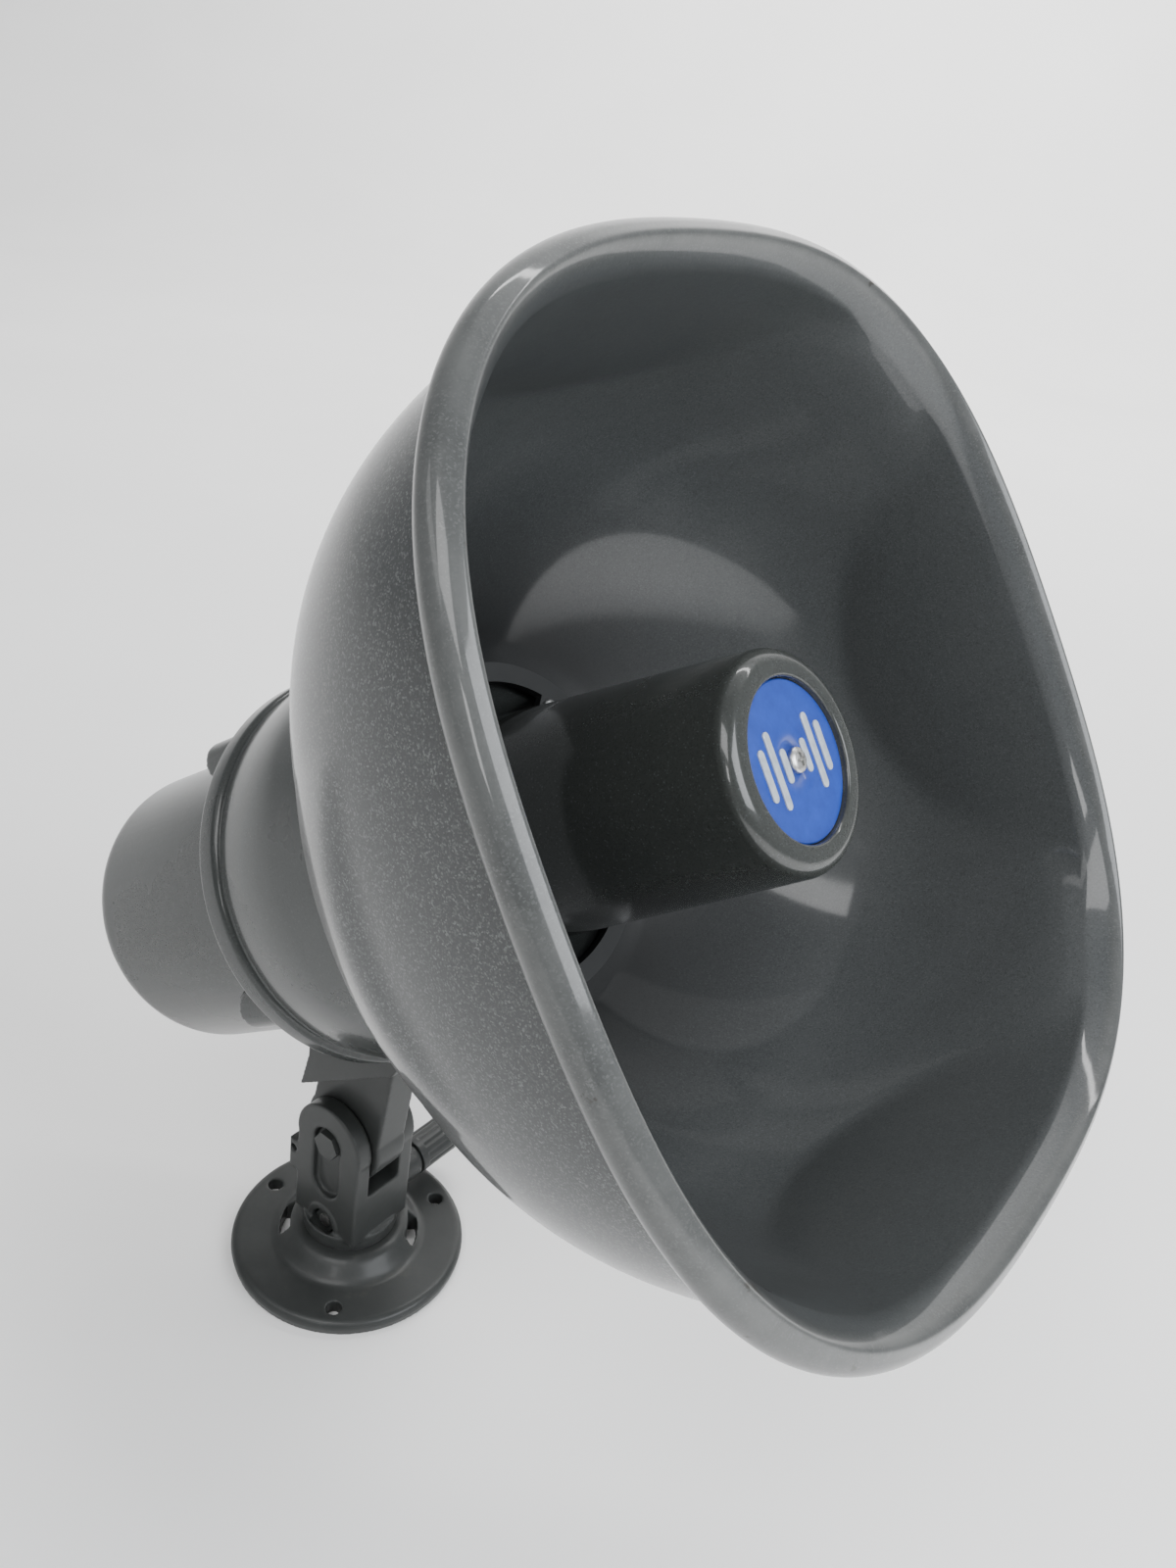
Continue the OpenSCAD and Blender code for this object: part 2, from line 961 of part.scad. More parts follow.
module gland_locknut() {
    color("black")
        horn_place()
            translate([gland_x, 0, 0])
                hex_nut(10, 7 + running, can_floor + running, can_floor + 4);
}

// ---------- tap selector ----------

module tap_selector() {
    top = can_back - 8.5;
    color("black")
        horn_place()
            translate([selector_x, 0, 0])
                difference() {
                    union() {
                        rod(3, -97, -79);
                        rod(6.5, top, can_back - 3);
                    }
                    translate([-5, -0.7, top - 1])
                        cube([10, 1.4, 3]);
                }
}

base_flange();
swivel_block();
pan_friction_washer();
pan_retaining_washer();
pan_screw();
pivot_bolt();
pivot_washer();
pivot_nut();
tilt_friction_washers();
clamp_washer();
clamp_nut();
clamp_knob();
clamp_stud();
tilt_bracket();
bracket_screws();
rear_housing();
housing_gasket();
housing_screws();
throat_housing();
bell_gasket();
bell();
bell_clamp_ring();
bell_screws();
reflector_cup();
tone_arm();
cup_spider();
badge_disc();
badge_emblem();
cup_screw();
throat_plate();
phase_plug();
diaphragm();
voice_coil();
magnet_top_plate();
magnet_ring();
pole_piece();
driver_screws();
driver_leads();
transformer_core();
transformer_coil();
transformer_bracket();
transformer_screws();
terminal_block();
terminal_screws();
tap_switch();
tap_switch_nut();
gland_body();
gland_cap();
gland_seal();
gland_locknut();
tap_selector();
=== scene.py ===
import json
import math

import bmesh
import bpy
from mathutils import Matrix, Vector


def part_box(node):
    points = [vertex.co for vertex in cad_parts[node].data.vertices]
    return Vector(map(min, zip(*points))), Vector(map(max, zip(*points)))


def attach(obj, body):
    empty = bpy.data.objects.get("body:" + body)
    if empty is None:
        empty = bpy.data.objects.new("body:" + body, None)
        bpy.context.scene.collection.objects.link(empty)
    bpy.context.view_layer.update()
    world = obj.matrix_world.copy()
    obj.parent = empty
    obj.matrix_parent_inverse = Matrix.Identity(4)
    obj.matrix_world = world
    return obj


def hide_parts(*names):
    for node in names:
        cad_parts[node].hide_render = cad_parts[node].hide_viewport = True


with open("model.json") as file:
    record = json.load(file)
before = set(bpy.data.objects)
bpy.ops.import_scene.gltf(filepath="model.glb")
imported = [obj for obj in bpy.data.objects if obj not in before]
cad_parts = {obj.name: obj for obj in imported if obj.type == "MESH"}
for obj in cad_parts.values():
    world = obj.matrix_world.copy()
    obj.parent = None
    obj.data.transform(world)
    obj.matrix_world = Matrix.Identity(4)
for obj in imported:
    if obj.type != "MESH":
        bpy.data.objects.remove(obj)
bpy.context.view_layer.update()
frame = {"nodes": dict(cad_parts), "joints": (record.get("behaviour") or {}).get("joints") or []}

# ---------------------------------------------------------------------------------------------
# Camera: a short lens held close, above and to the left of the mouth, and rolled a little, so
# that the bell looms in front of the small mount.
# ---------------------------------------------------------------------------------------------
MM = 0.001
camera_spot = Vector((223.62, -232.68, 368.64)) * MM
camera_azimuth = math.radians(33.25)
camera_elevation = math.radians(28.01)
camera_roll = math.radians(9.21)
camera_lens = 28.70
film_width = 36.0
nearest_seen = 0.01

camera_back = Vector((
    math.cos(camera_elevation) * math.sin(camera_azimuth),
    -math.cos(camera_elevation) * math.cos(camera_azimuth),
    math.sin(camera_elevation),
))
level_right = (-camera_back).cross(Vector((0, 0, 1))).normalized()
level_up = level_right.cross(-camera_back)
camera_right = level_right * math.cos(camera_roll) + level_up * math.sin(camera_roll)
camera_up = level_up * math.cos(camera_roll) - level_right * math.sin(camera_roll)

camera_data = bpy.data.cameras.new("camera")
camera_data.lens = camera_lens
camera_data.sensor_width = film_width
camera_data.clip_start = nearest_seen
camera = bpy.data.objects.new("camera", camera_data)
bpy.context.scene.collection.objects.link(camera)
camera.matrix_world = Matrix((
    (camera_right.x, camera_up.x, camera_back.x, camera_spot.x),
    (camera_right.y, camera_up.y, camera_back.y, camera_spot.y),
    (camera_right.z, camera_up.z, camera_back.z, camera_spot.z),
    (0, 0, 0, 1),
))
bpy.context.scene.camera = camera


# ---------------------------------------------------------------------------------------------
# Paper sweep: one sheet of pale card that runs flat under the horn and curves up behind it, a
# little cloudy, as a large matt sheet is.
# ---------------------------------------------------------------------------------------------
def new_material(name, colour, roughness, metallic=0.0, coat=0.0, coat_roughness=0.1):
    """A principled material with its even values on the shader's own sockets."""
    material = bpy.data.materials.new(name)
    material.use_nodes = True
    shader = material.node_tree.nodes["Principled BSDF"]
    shader.inputs["Base Color"].default_value = (*colour, 1)
    shader.inputs["Roughness"].default_value = roughness
    shader.inputs["Metallic"].default_value = metallic
    shader.inputs["Coat Weight"].default_value = coat
    shader.inputs["Coat Roughness"].default_value = coat_roughness
    return material


def add_node(material, kind, links=(), **values):
    """Adds a node, sets its properties or input values, and links (input, from node, output)."""
    node = material.node_tree.nodes.new(kind)
    for key, value in values.items():
        if hasattr(node, key):
            setattr(node, key, value)
        else:
            node.inputs[key.replace("_", " ")].default_value = value
    for socket, source, output in links:
        material.node_tree.links.new(node.inputs[socket], source.outputs[output])
    return node


def link_to_shader(material, socket, output):
    shader = material.node_tree.nodes["Principled BSDF"]
    material.node_tree.links.new(shader.inputs[socket], output)


def noise(material, place, scale, detail, roughness=0.5):
    return add_node(
        material, "ShaderNodeTexNoise", [("Vector", place, "Object")],
        Scale=scale, Detail=detail, Roughness=roughness,
    )


def picked(material, source, output, stops):
    """Turns a texture's output into a mask or a tone. Stops are (position, grey or colour)."""
    node = add_node(material, "ShaderNodeValToRGB", [("Fac", source, output)])
    ramp = node.color_ramp
    while len(ramp.elements) < len(stops):
        ramp.elements.new(0.5)
    for element, (position, value) in zip(ramp.elements, stops):
        element.position = position
        element.color = (*value, 1) if isinstance(value, tuple) else (value, value, value, 1)
    return node.outputs["Color"]


sweep_half_width = 5.0
sweep_near = -3.0
sweep_far = 2.2
sweep_curve = 1.1
sweep_height = 4.0
sweep_steps = 24

away = Vector((-camera_back.x, -camera_back.y, 0)).normalized()
across = Vector((-away.y, away.x, 0))
sweep_profile = [(sweep_near, 0.0), (sweep_far, 0.0)]
for step in range(1, sweep_steps + 1):
    turn = math.radians(90) * step / sweep_steps
    sweep_profile.append((
        sweep_far + sweep_curve * math.sin(turn),
        sweep_curve * (1 - math.cos(turn)),
    ))
sweep_profile.append((sweep_far + sweep_curve, sweep_height))
sweep_mesh = bpy.data.meshes.new("paper_sweep")
sweep_points = []
for distance, height in sweep_profile:
    for side in (-sweep_half_width, sweep_half_width):
        sweep_points.append(away * distance + across * side + Vector((0, 0, height)))
sweep_faces = [(2 * k, 2 * k + 1, 2 * k + 3, 2 * k + 2) for k in range(len(sweep_profile) - 1)]
sweep_mesh.from_pydata(sweep_points, [], sweep_faces)
sweep_mesh.polygons.foreach_set("use_smooth", [True] * len(sweep_faces))
paper_sweep = bpy.data.objects.new("paper_sweep", sweep_mesh)
bpy.context.scene.collection.objects.link(paper_sweep)

card_low = (0.86, 0.855, 0.845)
card_high = (0.9, 0.895, 0.885)
card = new_material("pale_card", card_low, 0.55)
card_place = add_node(card, "ShaderNodeTexCoord")
card_cloud = noise(card, card_place, 3.0, 3.0)
link_to_shader(card, "Base Color", picked(card, card_cloud, "Fac", [(0.3, card_low), (0.7, card_high)]))
sweep_mesh.materials.append(card)


# ---------------------------------------------------------------------------------------------
# Studio light: a pale room, three soft windows in front and to the left that the glossy bowl and
# the cup's lip show, a broad cool fill before the mouth, a weak ceiling behind, and two washes,
# one low over the floor in front of the mouth and one on the card behind.
# ---------------------------------------------------------------------------------------------
def add_panel(name, spot, aim, size, power, tint=(1.0, 1.0, 1.0)):
    """A rectangular lamp that faces aim, with its size in metres and its power in watts."""
    data = bpy.data.lights.new(name, "AREA")
    data.shape = "RECTANGLE"
    data.size = size[0]
    data.size_y = size[1]
    data.energy = power
    data.color = tint
    panel = bpy.data.objects.new(name, data)
    panel.location = spot
    panel.rotation_euler = (Vector(aim) - Vector(spot)).to_track_quat("-Z", "Y").to_euler()
    bpy.context.scene.collection.objects.link(panel)


horn_middle = (0.06, 0.0, 0.2)
cool_tint = (0.93, 0.96, 1.0)
add_panel("window_high", spot=(0.4, -1.1, 1.85), aim=horn_middle, size=(1.1, 0.8), power=19)
add_panel("window_left", spot=(-0.62, -1.36, 1.5), aim=horn_middle, size=(1.3, 0.4), power=3.5)
add_panel("window_front", spot=(0.85, -1.75, 1.25), aim=horn_middle, size=(0.3, 0.5), power=5)
add_panel("front_fill", (1.95, 0.1, 1.55), horn_middle, size=(1.5, 1.3), power=62, tint=cool_tint)
add_panel("floor_wash", spot=(0.6, -0.2, 0.9), aim=(1.5, -0.2, 0.45), size=(0.9, 0.5), power=26)
add_panel("ceiling", spot=(-0.1, 1.3, 2.1), aim=(0.1, 1.1, 0.0), size=(2.4, 1.8), power=5)
card_spot = away * (sweep_far + 1.0) + across * -0.9 + Vector((0, 0, 0.9))
card_lamp = card_spot - away * 1.9 + Vector((0, 0, 1.6))
add_panel("backdrop_wash", spot=card_lamp, aim=card_spot, size=(2.6, 0.9), power=150)

room_tone = (0.93, 0.95, 0.98)
room_strength = 0.5
room = bpy.data.worlds.new("pale_room")
room.use_nodes = True
room.node_tree.nodes["Background"].inputs["Color"].default_value = (*room_tone, 1)
room.node_tree.nodes["Background"].inputs["Strength"].default_value = room_strength
bpy.context.scene.world = room

# ---------------------------------------------------------------------------------------------
# Bell: a deep round bowl in moulded glass-fibre plastic, squared off by four dished flats, with
# a rolled rim, sprayed in a glossy grey full of fine metal fleck.
# ---------------------------------------------------------------------------------------------
joints = {joint["name"]: joint for joint in frame["joints"]}
horn_axis = -Vector(joints["tap_turn"]["axis"]).normalized()
horn_up = Vector((-horn_axis.z, 0, horn_axis.x))
horn_side = horn_axis.cross(horn_up)
badge_centre_s = 152.25
badge_low, badge_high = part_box("badge_disc")
throat_point = (Vector(badge_low) + Vector(badge_high)) / 2 - horn_axis * badge_centre_s * MM


def on_horn(radius, angle, s):
    """A point at this radius and angle from the top, this far along the horn axis, in mm."""
    offset = horn_up * math.cos(angle) + horn_side * math.sin(angle)
    return throat_point + (offset * radius + horn_axis * s) * MM


def link_mesh(name, points, faces):
    mesh = bpy.data.meshes.new(name)
    mesh.from_pydata(points, [], faces)
    mesh.validate()
    mesh.polygons.foreach_set("use_smooth", [True] * len(mesh.polygons))
    piece = bpy.data.objects.new(name, mesh)
    bpy.context.scene.collection.objects.link(piece)
    return piece


def turned(name, section, around):
    """A closed section, (radius, position) round its outline, carried all the way round the horn
    axis. section is a list, or a function of the angle that gives one."""
    points = []
    for k in range(around):
        angle = 2 * math.pi * k / around
        outline = section(angle) if callable(section) else section
        points.extend(on_horn(r, angle, s) for r, s in outline)
    count = len(points) // around
    faces = []
    for k in range(around):
        this, following = k * count, (k + 1) % around * count
        for j in range(count):
            after = (j + 1) % count
            faces.append((this + j, following + j, following + after, this + after))
    return link_mesh(name, points, faces)


def arc(r, s, radius, start, stop, steps):
    """Points of an arc in the section, with angles in degrees."""
    points = []
    for i in range(steps + 1):
        turn = math.radians(start + (stop - start) * i / steps)
        points.append((r + radius * math.cos(turn), s + radius * math.sin(turn)))
    return points


mouth_s = 171.94
bowl_depth = 119.95
bowl_radius = 109.87
floor_roundness = 2.7
side_roundness = 1.9
rim_radius = 117.3
corner_bulge = 4.87
corner_fade = 0.87
roll_radius = 4.6
roll_middle_s = 171.2
bell_wall = 2.0
least_wall = 0.85 * bell_wall
crease_softness = 0.9
mouth_flare = 5.5
flare_shortness = 10
flat_inset = 2 * roll_radius - 0.2
lobe_depth = 62.0
lobe_draft = 3.6
bell_hole = 41.8
bell_floor_s = 60.0
bell_floor_thick = 2.2
floor_edge_outside = 45.6
floor_edge_inside = 46.0


def bowl_u(s):
    """How deep in the bowl s lies, from 0 at the mouth to 1 at the bottom."""
    return min(1.0, max(0.0, (mouth_s - s) / bowl_depth))


def round_bowl(s):
    return bowl_radius * (1 - bowl_u(s) ** floor_roundness) ** (1 / side_roundness)


def corner_out(angle):
    return -corner_bulge * math.cos(4 * angle)


def soft_min(a, b):
    """The smaller of two radii, with the crease between them just rounded."""
    gap = max(crease_softness - abs(a - b), 0.0) / crease_softness
    return min(a, b) - gap * gap * crease_softness / 4


def bell_inside(s, angle):
    dish = min(mouth_s - s, lobe_depth) / lobe_depth
    flat = rim_radius + corner_out(angle) - flat_inset - lobe_draft * dish * (2 - dish)
    bowl = round_bowl(s) - bell_wall + mouth_flare * (1 - bowl_u(s)) ** flare_shortness
    return soft_min(bowl, flat)


def bell_outside(s, angle):
    free = round_bowl(s) + corner_out(angle) * (1 - bowl_u(s)) ** corner_fade
    return max(free, bell_inside(s, angle) + least_wall)


outside_rings = 44
outside_from, outside_to = 61.6, 167.2
outside_crowding = 1.4
roll_steps = 16
roll_start, roll_end = 128, -74
ridge_inside_roll = [
    (0.7, 175.95), (0.1, 176.05), (-0.5, 175.75), (-1.6, 174.6), (-2.9, 172.9), (-3.8, 171.1),
]
inside_rings = 84
inside_from, inside_to = 64.6, 169.4
inside_crowding = 1.25


def bell_section(angle):
    """Out along the back, round the roll, over the ridge and down the inside to the hole."""
    centre = rim_radius + corner_out(angle) - roll_radius
    points = [(bell_hole, bell_floor_s), (floor_edge_outside, bell_floor_s)]
    for i in range(outside_rings):
        rise = (i / (outside_rings - 1)) ** outside_crowding
        s = outside_from + (outside_to - outside_from) * rise
        points.append((bell_outside(s, angle), s))
    for i in range(roll_steps + 1):
        turn = math.radians(roll_start + (roll_end - roll_start) * i / roll_steps)
        points.append((centre + roll_radius * math.cos(turn), roll_middle_s - roll_radius * math.sin(turn)))
    points.extend((centre + r, s) for r, s in ridge_inside_roll)
    for i in range(inside_rings, -1, -1):
        s = inside_from + (inside_to - inside_from) * (i / inside_rings) ** inside_crowding
        points.append((bell_inside(s, angle), s))
    points.append((floor_edge_inside, bell_floor_s + bell_floor_thick))
    points.append((bell_hole, bell_floor_s + bell_floor_thick))
    return points


bell_facets = 384
bell = turned("bell_shell", bell_section, bell_facets)

# Mark the roll, where the paint has been knocked and rubbed, and how much fleck shows: all of it
# outside, less of it inside, and none deep in the throat. The same fleck mark also sets painted
# shade in the bell paint: the outside darkened to about half, the inside left as it is, and the
# deep throat darkened most, to about a fifth.
roll_first = 2 + outside_rings
rub_first = roll_first + 3
rub_last = roll_first + roll_steps + 4
# Fleck inside, and the painted shade deep in the throat, which fades out between these two depths
inside_fleck_and_shade = 0.4
no_fleck_darkest_shade_s = 66.0
full_fleck_unshaded_s = 100.0
rub_down = []
fleck_and_shade_down = []
for j, (_, s) in enumerate(bell_section(0.0)):
    shown = min(1.0, max(0.0, (s - no_fleck_darkest_shade_s) / (full_fleck_unshaded_s - no_fleck_darkest_shade_s)))
    rub_down.append(1.0 if rub_first <= j <= rub_last else 0.0)
    fleck_and_shade_down.append(1.0 if j <= rub_last else inside_fleck_and_shade * shown)
for mark, amounts in (("rim_rub", rub_down), ("fleck_and_shade", fleck_and_shade_down)):
    attribute = bell.data.attributes.new(mark, "FLOAT", "POINT")
    attribute.data.foreach_set("value", amounts * bell_facets)


def mix_colours(material, factor, under, over, mode="MIX"):
    """Mixes colour over onto the output under. factor and over are outputs or plain values."""
    mixer = material.node_tree.nodes.new("ShaderNodeMix")
    mixer.data_type = "RGBA"
    mixer.blend_type = mode
    for socket, value in ((mixer.inputs[0], factor), (mixer.inputs[6], under), (mixer.inputs[7], over)):
        if isinstance(value, bpy.types.NodeSocket):
            material.node_tree.links.new(socket, value)
        elif isinstance(value, tuple):
            socket.default_value = (*value, 1)
        else:
            socket.default_value = value
    return mixer.outputs[2]


def masked(material, mask, where):
    product = material.node_tree.nodes.new("ShaderNodeMath")
    product.operation = "MULTIPLY"
    material.node_tree.links.new(product.inputs[0], where)
    material.node_tree.links.new(product.inputs[1], mask)
    return product.outputs[0]


def vary_gloss(material, cloud, smoothest, roughest):
    """Lets the roughness wander between two values with a noise."""
    gloss = add_node(
        material, "ShaderNodeMapRange", [("Value", cloud, "Fac")], To_Min=smoothest, To_Max=roughest)
    link_to_shader(material, "Roughness", gloss.outputs["Result"])


def add_bumps(material, height, strength, distance):
    bump = add_node(
        material, "ShaderNodeBump", [("Height", height, "Fac")], Strength=strength, Distance=distance)
    link_to_shader(material, "Normal", bump.outputs["Normal"])


paint_specular = 0.18
paint_coat_roughness = 0.07
flecks_per_metre = 3000.0
nick_tone = (0.03, 0.028, 0.024)


def fleck_paint(name, low, high, fleck, fleck_amount, roughness, coat, rub_tone=None):
    """Sprayed grey with fine metal fleck, faint clouding, and, with rub_tone, a rubbed rim and painted shade
    from the bell's fleck mark: the outside darker and the deep throat darkest.
    """
    material = new_material(name, low, roughness, 0.0, coat, paint_coat_roughness)
    shader = material.node_tree.nodes["Principled BSDF"]
    shader.inputs["Specular IOR Level"].default_value = paint_specular
    place = add_node(material, "ShaderNodeTexCoord")
    colour = picked(material, noise(material, place, 22.0, 5.0), "Fac", [(0.35, low), (0.65, high)])
    cells = add_node(
        material, "ShaderNodeTexVoronoi", [("Vector", place, "Object")], Scale=flecks_per_metre)
    cell_value = add_node(material, "ShaderNodeSeparateColor", [("Color", cells, "Color")])
    bright_cells = picked(
        material, cell_value, "Red", [(1 - 3.0 * fleck_amount, 0.0), (1 - fleck_amount, 0.45), (1.0, 1.0)])
    dark_cells = picked(material, cell_value, "Green", [(0.0, 0.78), (0.4, 1.0)])
    if rub_tone:
        fleck_and_shade = add_node(material, "ShaderNodeAttribute", attribute_name="fleck_and_shade")
        bright_cells = masked(material, bright_cells, fleck_and_shade.outputs["Fac"])
        # Painted shade: the paint colour multiplied down outside, and most of all deep in the throat
        painted_shade = picked(material, fleck_and_shade, "Fac", [(0.0, 0.22), (0.4, 1.0), (1.0, 0.52)])
        colour = mix_colours(material, 1.0, colour, painted_shade, "MULTIPLY")
    colour = mix_colours(material, 1.0, colour, dark_cells, "MULTIPLY")
    colour = mix_colours(material, bright_cells, colour, fleck)
    if rub_tone:
        where = add_node(material, "ShaderNodeAttribute", attribute_name="rim_rub").outputs["Fac"]
        scuff_cloud = noise(material, place, 55.0, 8.0, 0.7)
        scuff = picked(material, scuff_cloud, "Fac", [(0.36, 0.45), (0.62, 0.95)])
        colour = mix_colours(material, masked(material, scuff, where), colour, rub_tone)
        nick_cloud = noise(material, place, 150.0, 5.0, 0.6)
        nick = picked(material, nick_cloud, "Fac", [(0.67, 0.0), (0.70, 0.9)])
        colour = mix_colours(material, masked(material, nick, where), colour, nick_tone)
    link_to_shader(material, "Base Color", colour)
    vary_gloss(material, noise(material, place, 9.0, 6.0, 0.6), roughness - 0.06, roughness + 0.10)
    add_bumps(material, noise(material, place, 320.0, 2.0), 0.05, 0.0003)
    return material


bell_paint = fleck_paint(
    "fleck_grey", (0.052, 0.056, 0.057), (0.06, 0.064, 0.065), (0.095, 0.102, 0.099),
    fleck_amount=0.13, roughness=0.34, coat=0.6, rub_tone=(0.078, 0.081, 0.079),
)
bell.data.materials.append(bell_paint)
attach(bell, "horn")
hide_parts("bell")

# ---------------------------------------------------------------------------------------------
# Reflector cup: a smooth tapered moulding that hangs mouth down over the tone arm, with a
# rounded lip and a shallow recess for the badge.
# ---------------------------------------------------------------------------------------------
cup_front = 154.5
cup_back = 48.0
cup_radius = 26.3
cup_radius_s = 151
cup_taper = math.tan(math.radians(2.95))
cup_lip = 4.4
cup_wall = 2.0
cup_back_round = 1.0
cup_crown_round = 8
cup_crown_s = cup_front - 14.5
screw_hole = 2.2
badge_radius = 18.9
recess_radius = badge_radius + 0.1
recess_floor = cup_front - 3.0
recess_edge = 0.8


def cup_outside(s):
    return cup_radius + (cup_radius_s - s) * cup_taper


cup_section = [(screw_hole, recess_floor), (recess_radius, recess_floor)]
cup_section += arc(recess_radius + recess_edge, cup_front - recess_edge, recess_edge, 180, 90, 5)
cup_section += arc(cup_radius - cup_lip, cup_front - cup_lip, cup_lip, 90, 3, 16)
cup_section += [(cup_outside(s), s) for s in range(145, 50, -8)]
cup_section += arc(
    cup_outside(cup_back) - cup_back_round, cup_back + cup_back_round, cup_back_round, 0, -180, 8)
cup_section += [(cup_outside(s) - cup_wall, s) for s in range(58, 138, 10)]
cup_section += arc(
    cup_outside(138) - cup_wall - cup_crown_round, cup_crown_s, cup_crown_round, 0, 90, 8)
cup_section += [(screw_hole, cup_crown_s + cup_crown_round)]
reflector_cup = turned("cup_shell", cup_section, 160)
cup_paint = fleck_paint(
    "smooth_grey", (0.03, 0.033, 0.031), (0.037, 0.04, 0.037), (0.055, 0.06, 0.06),
    fleck_amount=0.03, roughness=0.24, coat=0.6,
)
reflector_cup.data.materials.append(cup_paint)
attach(reflector_cup, "horn")
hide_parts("reflector_cup")

# ---------------------------------------------------------------------------------------------
# Badge: a round blue plate with a softly raised edge, stuck in the cup's recess, and plain
# level-meter bars in pale grey printed thick on it.
# ---------------------------------------------------------------------------------------------
badge_face = cup_front - 1.5
badge_back = cup_front - 2.95
badge_dome = 8.0
badge_section = [(screw_hole, badge_back), (badge_radius - 0.3, badge_back)]
badge_section += arc(badge_radius - 0.7, badge_face - 0.45, 0.5, 0, 90, 5)
badge_section += [(badge_radius - 1.5, badge_face - 0.1), (badge_dome, badge_face), (screw_hole, badge_face)]
badge = turned("badge_plate", badge_section, 128)
deep_blue = (0.002, 0.03, 0.25)
clear_blue = (0.005, 0.048, 0.36)
badge_blue = new_material("badge_blue", clear_blue, 0.36, 0.0, 0.4, 0.06)
badge_place = add_node(badge_blue, "ShaderNodeTexCoord")
badge_grain = noise(badge_blue, badge_place, 260.0, 6.0, 0.7)
badge_tone = picked(badge_blue, badge_grain, "Fac", [(0.3, deep_blue), (0.7, clear_blue)])
link_to_shader(badge_blue, "Base Color", badge_tone)
badge.data.materials.append(badge_blue)
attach(badge, "horn")
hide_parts("badge_disc")

bar_heights = (8.0, 18.0, 12.0)
bar_pitch = 4.0
first_bar_out = 1.1
bar_width = 2.2
bar_sunk = 0.05
bar_thick = 0.42
bar_shoulder = bar_thick * 0.7
bar_top_length = 0.97
bar_top_width = 0.86
bar_end_steps = 8


def bar_outline(height, middle):
    """A bar with round ends, as (along, across) points."""
    outline = []
    for end, first_turn in ((1, 0), (-1, 180)):
        for i in range(bar_end_steps + 1):
            turn = math.radians(first_turn + 180 * i / bar_end_steps)
            along = end * (height - bar_width) / 2 + bar_width / 2 * math.sin(turn)
            outline.append((along, middle + bar_width / 2 * math.cos(turn)))
    return outline


bar_mesh = bmesh.new()
for index, bar_height in enumerate(bar_heights):
    for side in (-1, 1):
        middle = side * bar_pitch * (index + first_bar_out)
        rings = []
        for level, top_length, top_width in (
            (badge_face - bar_sunk, 1.0, 1.0),
            (badge_face + bar_shoulder, 1.0, 1.0),
            (badge_face + bar_thick, bar_top_length, bar_top_width),
        ):
            ring = []
            for along_bar, across_bar in bar_outline(bar_height, middle):
                sideways = middle + (across_bar - middle) * top_width
                spot = horn_up * along_bar * top_length + horn_side * sideways + horn_axis * level
                ring.append(bar_mesh.verts.new(throat_point + spot * MM))
            rings.append(ring)
        count = len(rings[0])
        for lower, upper in zip(rings, rings[1:]):
            for i in range(count):
                after = (i + 1) % count
                bar_mesh.faces.new((lower[i], lower[after], upper[after], upper[i]))
        bar_mesh.faces.new(rings[-1])
        bar_mesh.faces.new(list(reversed(rings[0])))
bmesh.ops.recalc_face_normals(bar_mesh, faces=bar_mesh.faces)
bars_data = bpy.data.meshes.new("badge_bars")
bar_mesh.to_mesh(bars_data)
bar_mesh.free()
badge_bars = bpy.data.objects.new("badge_bars", bars_data)
bpy.context.scene.collection.objects.link(badge_bars)
ink_low = (0.36, 0.4, 0.47)
ink_high = (0.5, 0.55, 0.6)
bar_ink = new_material("pale_ink", ink_high, 0.35, 0.2, 0.4, 0.1)
ink_place = add_node(bar_ink, "ShaderNodeTexCoord")
ink_grain = noise(bar_ink, ink_place, 500.0, 4.0)
link_to_shader(bar_ink, "Base Color", picked(bar_ink, ink_grain, "Fac", [(0.3, ink_low), (0.7, ink_high)]))
badge_bars.data.materials.append(bar_ink)
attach(badge_bars, "horn")
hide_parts("badge_emblem")

# ---------------------------------------------------------------------------------------------
# Throat housing: the moulded waist between bell and driver can, with a round bead where the
# two halves meet and a thin lip that hugs the bell's back.
# ---------------------------------------------------------------------------------------------
ring_radius = 58.7
ring_back = -0.3
ring_front = 8.4
ring_back_round = 1.6
ring_front_round = 2.2
crease_round = 0.9
waist_radius = 57.2
waist_back = ring_front + 1.2
waist_length = 29.4
waist_steps = 20
throat_radius = 60.8
lip_round = 0.6
lip_s = 66.6
seat_radius = 54.0
pocket_floor = 9.0
gasket_step = 59.0
gasket_radius = 47.4
chamber_wall_radius = 46.0
chamber_radius = 41.0
chamber_floor = 14.0
chamber_round = 10
collar_radius = 17.0
collar_top = 26.0
tone_arm_hole = 12.05
sound_hole = 9.0
hole_step = 8.0

throat_section = [(sound_hole, ring_back), (40.0, ring_back)]
throat_section += arc(
    ring_radius - ring_back_round, ring_back + ring_back_round, ring_back_round, -90, 0, 8)
throat_section += arc(
    ring_radius - ring_front_round, ring_front - ring_front_round, ring_front_round, 0, 80, 8)
throat_section += arc(waist_radius + crease_round, ring_front + 1.1, crease_round, 215, 178, 4)
for step in range(1, waist_steps + 1):
    rise = step / waist_steps
    swell = (throat_radius - waist_radius) * math.sin(math.pi / 2 * rise)
    throat_section.append((waist_radius + swell, waist_back + waist_length * rise))
throat_section += [(throat_radius, s) for s in (46, 54, 62)]
throat_section += arc(throat_radius - lip_round, lip_s, lip_round, 0, 100, 5)
throat_section += [(57.4, 65.2), (54.6, 63.6), (seat_radius, 60.0), (seat_radius, pocket_floor)]
throat_section += [(chamber_wall_radius, pocket_floor), (chamber_wall_radius, 54.0)]
